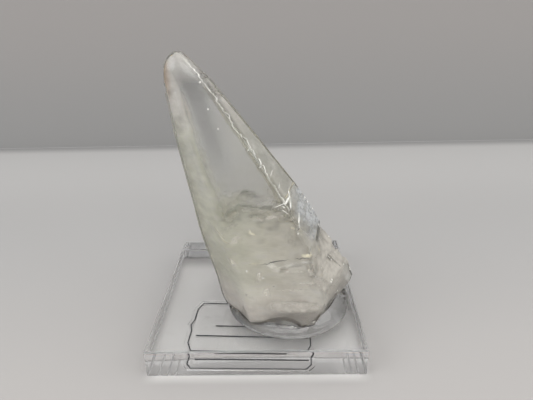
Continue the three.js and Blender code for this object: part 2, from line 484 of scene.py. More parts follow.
    def feed(self, socket: Socket, name: str) -> None:
        """Links a socket to one of the shader's inputs."""
        self.links.new(socket, self.surface.inputs[name])

    def bump(self, height: Socket, distance: float, strength: float = 1.0) -> None:
        """Feeds a height to the shader's normal.

        Args:
            height: The height, from 0 to 1.
            distance: The depth of a height of 1, in metres.
            strength: The share of the effect that shows.
        """
        node = self.nodes.new("ShaderNodeBump")
        node.inputs["Distance"].default_value = distance
        node.inputs["Strength"].default_value = strength
        self.links.new(height, node.inputs["Height"])
        self.feed(node.outputs["Normal"], "Normal")

    def absorb(self, colour: tuple, density: float) -> None:
        """Fills the inside with plain absorption.

        Args:
            colour: The colour that passes.
            density: How strongly the rest is taken up, per metre.
        """
        volume = self.nodes.new("ShaderNodeVolumeAbsorption")
        volume.inputs["Color"].default_value = (*colour, 1.0)
        volume.inputs["Density"].default_value = density
        self.links.new(volume.outputs["Volume"], self.output.inputs["Volume"])


@dataclass(frozen=True)
class ClearAcrylic:
    """Polished clear acrylic sheet with finely sanded edges."""

    ior: float = 1.49
    tint: tuple = (0.84, 0.85, 0.83)
    density: float = 2.0
    sanding: float = 0.6

    def build(self) -> Material:
        """Builds the finish: clear, with faint handling haze on its faces.

        Returns:
            The material.
        """
        shader = Shader("clear_acrylic")
        shader.set(Transmission_Weight=1.0, IOR=self.ior, Base_Color=(1.0, 1.0, 1.0, 1.0))
        grain = shader.grain(900.0, 160.0, (1.0, 1.0, 3.0))
        haze = shader.ramp(grain["Coarse"], [(0.4, 0.0), (0.75, 0.045)])
        edges = [shader.facing(way, 0.9, 0.97) for way in self.breaks()]
        sanded = shader.chain("ADD", edges)
        shader.feed(shader.math("MULTIPLY_ADD", sanded, self.sanding, haze), "Roughness")
        shader.absorb(self.tint, self.density)
        return shader.material

    def breaks(self) -> list:
        """Lists the directions that the sanded edges face, halfway between two flat faces.

        Returns:
            The directions, of length 1.
        """
        half = math.sqrt(0.5)
        sides = ((half, 0), (-half, 0), (0, half), (0, -half))
        return [(x, y, z) for z in (half, -half) for x, y in sides]


@dataclass(frozen=True)
class LabelFilm:
    """The clear film of the label."""

    colour: tuple = (0.90, 0.90, 0.88)

    def build(self) -> Material:
        """Builds the finish: hardly visible, a little cloudier where its gum is uneven.

        Returns:
            The material.
        """
        shader = Shader("label_film")
        shader.set(Base_Color=(*self.colour, 1.0), Roughness=0.3, Specular_IOR_Level=0.1)
        grain = shader.grain(1400.0, 220.0)
        shader.feed(shader.ramp(grain["Coarse"], [(0.4, 0.015), (0.8, 0.05)]), "Alpha")
        return shader.material


@dataclass(frozen=True)
class SetGlue:
    """Clear glue, set glossy with small ripples."""

    ior: float = 1.49
    tint: tuple = (0.86, 0.86, 0.84)
    density: float = 10.0

    def build(self) -> Material:
        """Builds the finish.

        Returns:
            The material.
        """
        shader = Shader("set_glue")
        shader.set(Transmission_Weight=1.0, IOR=self.ior, Roughness=0.03)
        grain = shader.grain(900.0, 260.0)
        shader.bump(grain["Coarse"], 0.4 * MM, 0.6)
        shader.absorb(self.tint, self.density)
        return shader.material


@dataclass(frozen=True)
class PrintedInk:
    """Dark printing ink, thinner where the print is patchy."""

    dense: tuple = (0.035, 0.037, 0.042)
    thin: tuple = (0.10, 0.10, 0.11)

    def build(self) -> Material:
        """Builds the finish.

        Returns:
            The material.
        """
        shader = Shader("printed_ink")
        grain = shader.grain(3500.0, 700.0)
        shader.feed(shader.ramp(grain["Fine"], [(0.35, self.dense), (0.75, self.thin)]), "Base Color")
        shader.set(Roughness=0.6, Specular_IOR_Level=0.2)
        return shader.material


@dataclass(frozen=True)
class Calcite:
    """Calcite with softly etched, gently rippled faces."""

    ior: float = 1.6
    tint: tuple = (0.86, 0.87, 0.77)
    density: float = 9.0
    polish: float = 0.04
    etching: float = 0.18
    crown_haze: float = 0.09

    def build(self) -> Material:
        """Builds the finish.

        Returns:
            The material.
        """
        shader = Shader("calcite")
        shader.set(Transmission_Weight=1.0, IOR=self.ior)
        grain = shader.grain(1500.0, 300.0, (1.0, 1.0, 0.4))
        etched = shader.math("MULTIPLY_ADD", grain["Coarse"], self.etching, self.polish)
        crown = shader.along(Axis.Z, 48 * MM, 58 * MM, grain["Coarse"], 6 * MM)
        shader.feed(shader.math("MULTIPLY_ADD", crown, self.crown_haze, etched), "Roughness")
        shader.bump(grain["Coarse"], 0.3 * MM, 0.35)
        shader.absorb(self.tint, self.density)
        return shader.material


@dataclass(frozen=True)
class BruisedCalcite:
    """The white, crushed look of calcite along knocked edges."""

    fresh: tuple = (0.90, 0.89, 0.85)
    dusty: tuple = (0.74, 0.72, 0.64)

    def build(self) -> Material:
        """Builds the finish.

        Returns:
            The material.
        """
        shader = Shader("bruised_calcite")
        shader.set(Roughness=0.45, Transmission_Weight=0.35, IOR=1.6)
        grain = shader.grain(2600.0, 500.0)
        shader.feed(shader.ramp(grain["Coarse"], [(0.35, self.dusty), (0.6, self.fresh)]), "Base Color")
        shader.bump(grain["Fine"], 0.12 * MM, 0.8)
        return shader.material


@dataclass(frozen=True)
class Cloud:
    """The milkiness inside: dense at the foot, none in the clear middle, creamy at the tip.

    Each pair of distances says where a look starts along its direction, and where it is full.
    """

    olive: tuple = (0.92, 0.92, 0.80)
    cream: tuple = (0.94, 0.91, 0.83)
    rosy: tuple = (0.98, 0.92, 0.85)
    tip: tuple = (0.97, 0.94, 0.89)
    pale: tuple = (0.93, 0.93, 0.90)
    rust: tuple = (0.72, 0.56, 0.42)
    dusk: tuple = (0.45, 0.45, 0.43)
    shade: tuple = (0.62, 0.60, 0.52)
    light: tuple = (0.92, 0.895, 0.84)
    name: str = "calcite_cloud"
    dense: float = 0.75
    through: float = 0.12
    ior: float = 1.25
    at_skin: bool = True
    cream_right: tuple = (-9 * MM, 8 * MM)
    rosy_below: tuple = (17 * MM, 10 * MM)
    pale_beyond: tuple = (27.6 * MM, 28.4 * MM)
    tip_above: tuple = (45 * MM, 52 * MM)
    rust_left: tuple = (-14.2 * MM, -16.1 * MM)
    rust_above: tuple = (51.5 * MM, 56.5 * MM)
    milk_below: tuple = (35 * MM, 26 * MM)
    foot_below: tuple = (24 * MM, 12 * MM)
    clear_below: tuple = (10.0 * MM, 8.4 * MM)
    clear_right: tuple = (0.5 * MM, 5 * MM)
    stripe_from: tuple = (1.2 * MM, 3.0 * MM)
    stripe_to: tuple = (8.0 * MM, 4.5 * MM)
    stripe_above: tuple = (33 * MM, 46 * MM)
    stripe_below: tuple = (60 * MM, 55 * MM)
    crown_above: tuple = (49 * MM, 61 * MM)
    tinge_above: tuple = (54 * MM, 59 * MM)
    edge_side: tuple = (2.4 * MM, 0.2 * MM)
    haze_below: tuple = (47 * MM, 33 * MM)
    # Where the painted light on the upper sides starts and is full.
    lit_above: tuple = (44 * MM, 52 * MM)
    ridge_above: tuple = (44 * MM, 50 * MM)
    ridge_side: tuple = (18 * MM, 26 * MM)

    def build(self) -> Material:
        """Builds the finish.

        Returns:
            The material.
        """
        shader = Shader(self.name)
        shader.set(Roughness=1.0, Transmission_Weight=self.through, IOR=self.ior)
        grain = shader.grain(900.0, 170.0, (1.0, 1.0, 1.7))
        side = shader.along(Axis.X, *self.cream_right, grain["Coarse"], 8 * MM)
        body = shader.mix(side, self.olive, self.cream)
        low = shader.along(Axis.Z, *self.rosy_below, grain["Coarse"], 9 * MM)
        body = shader.mix(low, body, self.rosy)
        rightward = shader.beyond(RIDGEWARD, *self.pale_beyond)
        # The pale right side beyond the ridge is partly painted light.
        body = shader.mix(shader.times(rightward, 0.85), body, self.pale)
        high = shader.along(Axis.Z, *self.tip_above)
        body = shader.mix(high, body, self.tip)
        left = shader.along(Axis.X, *self.rust_left, grain["Coarse"], 1.5 * MM)
        warm = shader.times(left, shader.along(Axis.Z, *self.rust_above))
        flecks = shader.grain(1700.0, 520.0, (0.6, 1.0, 2.0))
        body = shader.mix(shader.ramp(flecks["Mixed"], [(0.16, 0.25), (0.3, 0.0)]), body, self.shade)
        body = shader.mix(shader.ramp(flecks["Coarse"], [(0.56, 0.0), (0.66, 0.7)]), body, self.light)
        stripe = self.stripe(shader)
        body = shader.mix(stripe, body, self.dusk)
        shader.feed(shader.mix(warm, body, self.rust), "Base Color")
        milk = shader.along(Axis.Z, *self.milk_below, grain["Coarse"], 24 * MM)
        thick = shader.math("MULTIPLY_ADD", grain["Coarse"], 0.6, self.dense - 0.3)
        foot = shader.along(Axis.Z, *self.foot_below)
        milk = shader.times(milk, shader.math("MULTIPLY_ADD", foot, 0.2, thick))
        below = shader.beyond(BASEWARD, *self.clear_below)
        right = shader.along(Axis.X, *self.clear_right, grain["Coarse"], 6 * MM)
        clear = shader.times(below, right)
        milk = shader.times(milk, shader.math("MULTIPLY_ADD", clear, -0.45, 1.0))
        if self.at_skin:
            milk = self.skin_haze(shader, grain, warm, rightward, stripe, milk)
        shader.feed(milk, "Alpha")
        return shader.material

    def stripe(self, shader: Shader) -> Socket:
        """Adds the mask of the dusky stripe beside the left edge.

        Args:
            shader: The finish's shader.

        Returns:
            The mask's socket.
        """
        start = shader.beyond(EDGEWARD, *self.stripe_from)
        end = shader.beyond(EDGEWARD, *self.stripe_to)
        low = shader.along(Axis.Z, *self.stripe_above)
        high = shader.along(Axis.Z, *self.stripe_below)
        return shader.times(start, end, low, high)

    def skin_haze(
        self, shader: Shader, grain: dict, warm: Socket, rightward: Socket, stripe: Socket, milk: Socket
    ) -> Socket:
        """Adds what only the cloud's skin has: the frosted tip, its warm tinge and the hazy sides, whose
        pale haze is partly frost and partly painted light.

        Args:
            shader: The finish's shader.
            grain: Its grain.
            warm: The mask of the warm tinge.
            rightward: The mask of the right side, beyond the ridge.
            stripe: The mask of the dusky stripe.
            milk: The milkiness at the foot.

        Returns:
            The whole density.
        """
        crown = shader.times(shader.along(Axis.Z, *self.crown_above, grain["Coarse"], 5 * MM), 0.5)
        tinge = shader.times(warm, shader.along(Axis.Z, *self.tinge_above), 0.5)
        sides = shader.math("ADD", rightward, shader.beyond(EDGEWARD, *self.edge_side))
        lower = shader.along(Axis.Z, *self.haze_below)
        haze = shader.math("MULTIPLY_ADD", lower, 0.3, 0.12)
        haze = shader.math("MULTIPLY_ADD", sides, 1.0, haze, clamp=False)
        # Painted light: more pale haze on the upper sides.
        lit = shader.times(sides, shader.along(Axis.Z, *self.lit_above), 0.7)
        haze = shader.times(grain["Coarse"], shader.math("ADD", haze, lit, clamp=False))
        high = shader.along(Axis.Z, *self.ridge_above)
        right = shader.times(rightward, shader.math("MULTIPLY_ADD", high, 0.22, 0.6))
        near = shader.times(shader.beyond(RIDGEWARD, *self.ridge_side), 0.24)
        return shader.most(crown, tinge, milk, haze, right, near, shader.times(stripe, 0.38))


@dataclass(frozen=True)
class Veil:
    """A healed crack inside the crystal, seen as a grey-green rippled film."""

    focus: tuple = (0.5 * MM, 0.0, 25.0 * MM)
    dark: tuple = (0.24, 0.255, 0.205)
    light: tuple = (0.66, 0.66, 0.60)

    def build(self) -> Material:
        """Builds the finish.

        Returns:
            The material.
        """
        shader = Shader("calcite_veil")
        shader.set(Roughness=0.3)
        grain = shader.grain(1300.0, 330.0, (1.0, 1.0, 2.2))
        rings = shader.rings(self.focus, 150.0)
        shader.feed(shader.ramp(rings, [(0.3, self.dark), (0.7, self.light)]), "Base Color")
        shown = shader.ramp(grain["Coarse"], [(0.35, 0.15), (0.62, 0.8)])
        shown = shader.times(shown, shader.ramp(rings, [(0.2, 0.9), (0.8, 0.35)]))
        shader.feed(shader.times(shown, shader.attribute(FADE)), "Alpha")
        shader.bump(grain["Coarse"], 0.3 * MM, 0.7)
        return shader.material


@dataclass(frozen=True)
class Shade:
    """A dark or coloured trace: specks, stains and patches, painted highlights and the painted shade of a
    crack.
    """

    name: str
    deep: tuple
    pale: tuple
    thin: float = 0.45
    thick: float = 0.9

    def build(self) -> Material:
        """Builds the finish.

        Returns:
            The material.
        """
        shader = Shader(self.name)
        shader.set(Roughness=0.7)
        grain = shader.grain(3000.0, 900.0)
        shader.feed(shader.ramp(grain["Fine"], [(0.35, self.deep), (0.65, self.pale)]), "Base Color")
        body = shader.ramp(grain["Coarse"], [(0.35, self.thin), (0.6, self.thick)])
        shader.feed(shader.times(body, shader.attribute(FADE)), "Alpha")
        return shader.material


@dataclass(frozen=True)
class StageBoard:
    """The matt sheet that is table and wall at once.

    Each pair of distances, in millimetres, says where a tone starts and where it is full.
    """

    table: tuple = (0.352, 0.336, 0.324)
    # Painted shade: the table darkens away from the front.
    table_far_painted_shade: tuple = (0.318, 0.312, 0.306)
    # Painted light: the far strip of the table before the fold is lighter.
    table_end_painted_light: tuple = (0.376, 0.369, 0.362)
    # Painted shadow: a dark band on the floor under the slab's back edge.
    gap: tuple = (0.06, 0.06, 0.059)
    # Painted light: the bright floor under the slab stands in for light that comes through the slab.
    under: tuple = (0.64, 0.63, 0.615)
    wall_low: tuple = (0.232, 0.229, 0.225)
    # Painted light: the wall is lighter towards its top.
    wall_top_painted_light: tuple = (0.255, 0.243, 0.235)
    painted_shade_from: tuple = (-60, 45)
    sides: tuple = ((-24, -20), (24, 20))
    # Where the painted light under the slab fades out along Y.
    painted_light_depth: tuple = ((-25, -21), (17, 11))
    painted_shadow_depth: tuple = ((17, 18.6), (23, 22))
    painted_light_end_from: tuple = (45, 135)
    wall_from: tuple = (135, 147.5)
    wall_painted_light_rise: tuple = (4, 75)

    def build(self) -> Material:
        """Builds the finish: pale in front of the fold and grey above it, with painted light and shade on
        the table and wall.

        Returns:
            The material.
        """
        shader = Shader("stage_board")
        # Painted shade: the table darkens away from the front.
        away = self.rise(shader, Axis.Y, self.painted_shade_from)
        floor = shader.ramp(away, [(0.0, self.table), (1.0, self.table_far_painted_shade)])
        across = self.band(shader, Axis.X, self.sides)
        # Painted light: the floor under the slab is made bright in colour.
        deep = self.band(shader, Axis.Y, self.painted_light_depth)
        floor = shader.mix(shader.times(across, deep), floor, self.under)
        # Painted shadow under the slab's back edge.
        painted_shadow_band = self.band(shader, Axis.Y, self.painted_shadow_depth)
        floor = shader.mix(shader.times(across, painted_shadow_band), floor, self.gap)
        # Painted light: the far strip of the table is lightened.
        floor = shader.mix(self.rise(shader, Axis.Y, self.painted_light_end_from), floor, self.table_end_painted_light)
        # Painted light: the wall lightens upwards.
        up = self.rise(shader, Axis.Z, self.wall_painted_light_rise)
        wall = shader.ramp(up, [(0.0, self.wall_low), (1.0, self.wall_top_painted_light)])
        end = self.rise(shader, Axis.Y, self.wall_from)
        shader.feed(shader.mix(end, floor, wall), "Base Color")
        shader.set(Roughness=0.9, Specular_IOR_Level=0.2)
        return shader.material

    def rise(self, shader: Shader, axis: Axis, span: tuple) -> Socket:
        """Adds a gradient between two places, in millimetres."""
        return shader.along(axis, span[0] * MM, span[1] * MM)

    def band(self, shader: Shader, axis: Axis, spans: tuple) -> Socket:
        """Adds a mask between two soft edges, in millimetres."""
        return shader.times(*(self.rise(shader, axis, span) for span in spans))


@dataclass(frozen=True)
class Lamp:
    """A square soft light.

    Attributes:
        name: Its name.
        place: Where it hangs, in metres.
        aim: The point that it faces.
        size: Its side, in metres.
        power: Its power, in watts.
        colour: Its colour.
    """

    name: str
    place: tuple
    aim: tuple
    size: float
    power: float
    colour: tuple

    def build(self) -> None:
        """Hangs the lamp in the scene."""
        data = bpy.data.lights.new(self.name, "AREA")
        data.shape = "SQUARE"
        data.size = self.size
        data.energy = self.power
        data.color = self.colour
        lamp = bpy.data.objects.new(self.name, data)
        lamp.location = self.place
        lamp.rotation_euler = (Vector(self.aim) - Vector(self.place)).to_track_quat("-Z", "Y").to_euler()
        bpy.context.scene.collection.objects.link(lamp)


@dataclass
class Stage:
    """The sheet behind and under the specimen, and the lights."""

    lamps: tuple = (
        Lamp("overhead", (0.05, 0.0, 0.75), (0, 0, 0), 0.7, 2.6, (1.0, 0.99, 0.97)),
        Lamp("window", (-0.55, -0.3, 0.4), (0, 0, 0.02), 0.5, 2.0, (0.97, 0.98, 1.0)),
        Lamp("side", (0.6, -0.15, 0.35), (0, 0, 0.02), 0.5, 1.2, (1.0, 0.99, 0.98)),
        Lamp("front", (0.15, -0.75, 0.45), (0, 0, 0.02), 0.8, 4.5, (1.0, 0.99, 0.97)),
    )
    room_colour: tuple = (0.97, 0.98, 1.0)
    room_light: float = 0.8
    clear_bounces: int = 24
    glossy_bounces: int = 16
    diffuse_bounces: int = 12
    transparent_bounces: int = 32
    fold_steps: int = 12
    half_width: float = 0.9
    front: float = -0.5
    fold: float = 148.0 * MM
    fold_radius: float = 0.4 * MM
    top: float = 0.17
    level: float = -0.05 * MM

    def sheet(self) -> bpy.types.Object:
        """Builds the floor, swept up into the wall behind.

        Returns:
            The sheet.
        """
        bm = bmesh.new()
        ends = [bm.verts.new((side * self.half_width, self.front, self.level)) for side in (-1, 1)]
        edges = [bm.edges.new(ends)]
        runs = [(self.fold - self.fold_radius - self.front, (0, 1, 0)), (self.top, (0, 0, 1))]
        for number, (length, way) in enumerate(runs):
            made = bmesh.ops.extrude_edge_only(bm, edges=edges)["geom"]
            moved = picked(made, BMVert)
            bmesh.ops.translate(bm, verts=moved, vec=Vector(way) * length)
            edges = [edge for edge in picked(made, BMEdge) if all(vert in moved for vert in edge.verts)]
            if number == 0:
                centre = (0.0, self.fold - self.fold_radius, self.level + self.fold_radius)
                bend = {"axis": (1, 0, 0), "angle": math.pi / 2, "steps": self.fold_steps}
                turned = bmesh.ops.spin(bm, geom=edges + moved, cent=centre, **bend)
                edges = picked(turned["geom_last"], BMEdge)
        smoothed(bm)
        sheet = new_piece("stage_sheet", bm, [StageBoard().build()])
        return sheet

    def world(self) -> None:
        """Lights the room evenly and a little cool."""
        world = bpy.data.worlds.new("room")
        world.use_nodes = True
        room = world.node_tree.nodes["Background"]
        room.inputs["Color"].default_value = (*self.room_colour, 1.0)
        room.inputs["Strength"].default_value = self.room_light
        bpy.context.scene.world = world

    def build(self) -> None:
        """Sets up the sheet, the lights, the room and the light's bounces in clear pieces."""
        self.sheet()
        self.world()
        for lamp in self.lamps:
            lamp.build()
        paths = bpy.context.scene.cycles
        paths.max_bounces = paths.transmission_bounces = self.clear_bounces
        paths.glossy_bounces = self.glossy_bounces
        paths.diffuse_bounces = self.diffuse_bounces
        paths.transparent_max_bounces = self.transparent_bounces


@dataclass(frozen=True)
class ViewCamera:
    """The camera, placed so that the slab's corners fall where the photograph has them."""

    place: tuple = (3.98 * MM, -87.0 * MM, 67.47 * MM)
    down: float = math.radians(23.59)
    turn: float = math.radians(1.01)
    roll: float = math.radians(-1.27)
    focal_px: float = 420.0
    width_px: float = 533.0
    sensor: float = 36.0

    def build(self) -> bpy.types.Object:
        """Places the scene's camera.

        Returns:
            The camera.
        """
        data = bpy.data.cameras.new("view")
        data.sensor_fit = "HORIZONTAL"
        data.sensor_width = self.sensor
        data.lens = self.focal_px * self.sensor / self.width_px
        data.clip_start = 1.0 * MM
        camera = bpy.data.objects.new("view", data)
        turned = Matrix.Rotation(self.turn, 4, "Z") @ Matrix.Rotation(math.pi / 2 - self.down, 4, "X")
        camera.matrix_world = Matrix.Translation(self.place) @ turned @ Matrix.Rotation(self.roll, 4, "Z")
        bpy.context.scene.collection.objects.link(camera)
        bpy.context.scene.camera = camera
        return camera


@dataclass
class Slab:
    """The clear acrylic square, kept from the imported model."""

    def build(self) -> bpy.types.Object:
        """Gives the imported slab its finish.

        Returns:
            The slab.
        """
        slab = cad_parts["slab"]
        slab.data.materials.clear()
        slab.data.materials.append(ClearAcrylic().build())
        return slab


@dataclass
class Label:
    """The clear film under the slab, with a printed frame and two ruled lines."""

    ink_level: float = 0.20 * MM
    ink_thickness: float = 0.015 * MM
    frame_inset: float = 0.42 * MM
    frame_width: float = 0.27 * MM
    centre: tuple = (-1.5 * MM, -11.3 * MM)
    turn: float = math.radians(-2.6)
    rules: tuple = ((-11.9 * MM, 12.7 * MM, -3.3 * MM), (-8.0 * MM, 8.0 * MM, -0.1 * MM))
    rule_width: float = 0.34 * MM

    def plate(self) -> BMesh:
        """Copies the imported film's underside as one flat face.

        Returns:
            The face's mesh.
        """
        bm = packed_mesh("label")
        above = [face for face in bm.faces if face.normal.z > -0.5]
        bmesh.ops.delete(bm, geom=above, context="FACES")
        bmesh.ops.dissolve_faces(bm, faces=bm.faces, use_verts=False)
        bmesh.ops.reverse_faces(bm, faces=bm.faces)
        return bm

    def film(self) -> None:
        """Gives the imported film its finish."""
        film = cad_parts["label"]
        film.data.materials.clear()
        film.data.materials.append(LabelFilm().build())

    def printing(self) -> bpy.types.Object:
        """Builds the printed frame and lines.

        Returns:
            The printing.
        """
        bm = self.plate()
        bmesh.ops.inset_region(bm, faces=bm.faces, thickness=self.frame_inset, use_boundary=True)
        inner = max(bm.faces, key=lambda face: face.calc_area())
        outer = [face for face in bm.faces if face is not inner]
        bmesh.ops.delete(bm, geom=outer, context="FACES")
        bmesh.ops.inset_region(bm, faces=bm.faces, thickness=self.frame_width, use_boundary=True)
        inner = max(bm.faces, key=lambda face: face.calc_area())
        bmesh.ops.delete(bm, geom=[inner], context="FACES")
        turned = Matrix.Translation((*self.centre, 0)) @ Matrix.Rotation(self.turn, 4, "Z")
        for left, right, across in self.rules:
            size = ((right - left) / 2, self.rule_width / 2)
            middle = Matrix.Translation(((right + left) / 2, across, 0)) @ Matrix.Diagonal((*size, 1, 1))
            bmesh.ops.create_grid(bm, x_segments=1, y_segments=1, size=1.0, matrix=turned @ middle)
        bmesh.ops.translate(bm, verts=bm.verts, vec=(0, 0, self.ink_level))
        top = bmesh.ops.extrude_face_region(bm, geom=list(bm.faces))["geom"]
        bmesh.ops.translate(bm, verts=picked(top, BMVert), vec=(0, 0, self.ink_thickness))
        bmesh.ops.recalc_face_normals(bm, faces=bm.faces)
        printing = new_piece("label_print", bm, [PrintedInk().build()])
        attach(printing, ROOT)
        return printing

    def build(self) -> bpy.types.Object:
        """Dresses the film and returns the printing."""
        self.film()
        return self.printing()


@dataclass
class GluePuddle:
    """The glue round the crystal's foot, as one clear dome that the foot stands in."""

    centre: tuple = (7.5 * MM, -5.4 * MM)
    radius: float = 13.8 * MM
    rim: float = 0.42 * MM
    crown: float = 3.2 * MM
    crown_radius: float = 10.4 * MM
    gap: float = 0.03 * MM
    edge_height: float = 0.05 * MM
    edge_round: float = 0.25 * MM
    rings: int = 12
    uneven: float = 0.03
    steps: int = 96

    def build(self) -> bpy.types.Object:
        """Turns the puddle's profile round its middle.

        Returns:
            The puddle.
        """
        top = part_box("slab")[1][2]
        bm = bmesh.new()
        profile = [(0.0, self.gap), (self.radius, self.gap), (self.radius, self.edge_height)]
        for i in range(self.rings + 1):
            share = i / self.rings
            swell = 1 - math.cos(math.pi / 2 * share)
            out = self.radius - self.edge_round + (self.crown_radius - self.radius) * share**0.8
            profile.append((out, self.rim + (self.crown - self.rim) * swell))
        profile.append((0.0, self.crown))
        verts = [bm.verts.new((r, 0.0, z)) for r, z in profile]
        edges = [bm.edges.new(pair) for pair in zip(verts, verts[1:])]
        turn = {"axis": (0, 0, 1), "angle": 2 * math.pi, "steps": self.steps, "use_merge": True}
        bmesh.ops.spin(bm, geom=verts + edges, cent=(0, 0, 0), **turn)
        bmesh.ops.remove_doubles(bm, verts=bm.verts, dist=1e-6)
        for vert in bm.verts:
            angle = math.atan2(vert.co.y, vert.co.x)
            spread = 1 + self.uneven * (math.sin(2 * angle + 0.6) + 0.6 * math.sin(3 * angle - 1.1))
            vert.co.x = vert.co.x * spread + self.centre[0]
            vert.co.y = vert.co.y * spread + self.centre[1]
            vert.co.z += top
        bmesh.ops.recalc_face_normals(bm, faces=bm.faces)
        smoothed(bm)
        puddle = new_piece("glue_puddle", bm, [SetGlue().build()])
        stand_for(puddle, "glue")
        return puddle


@dataclass(frozen=True)
class Mark:
    """A small flake or patch on the crystal's surface, seen from the front; those on the glint layer are
    painted highlights and white nicks.

    Attributes:
        across: Its place along X.
        up: Its height.
        length: Its longer size.
        width: Its shorter size.
        turn: The turn of its long side from level, in degrees.
        layer: Its finish.
    """

    across: float
    up: float
    length: float
    width: float
    turn: float
    layer: Layer = Layer.GLINT


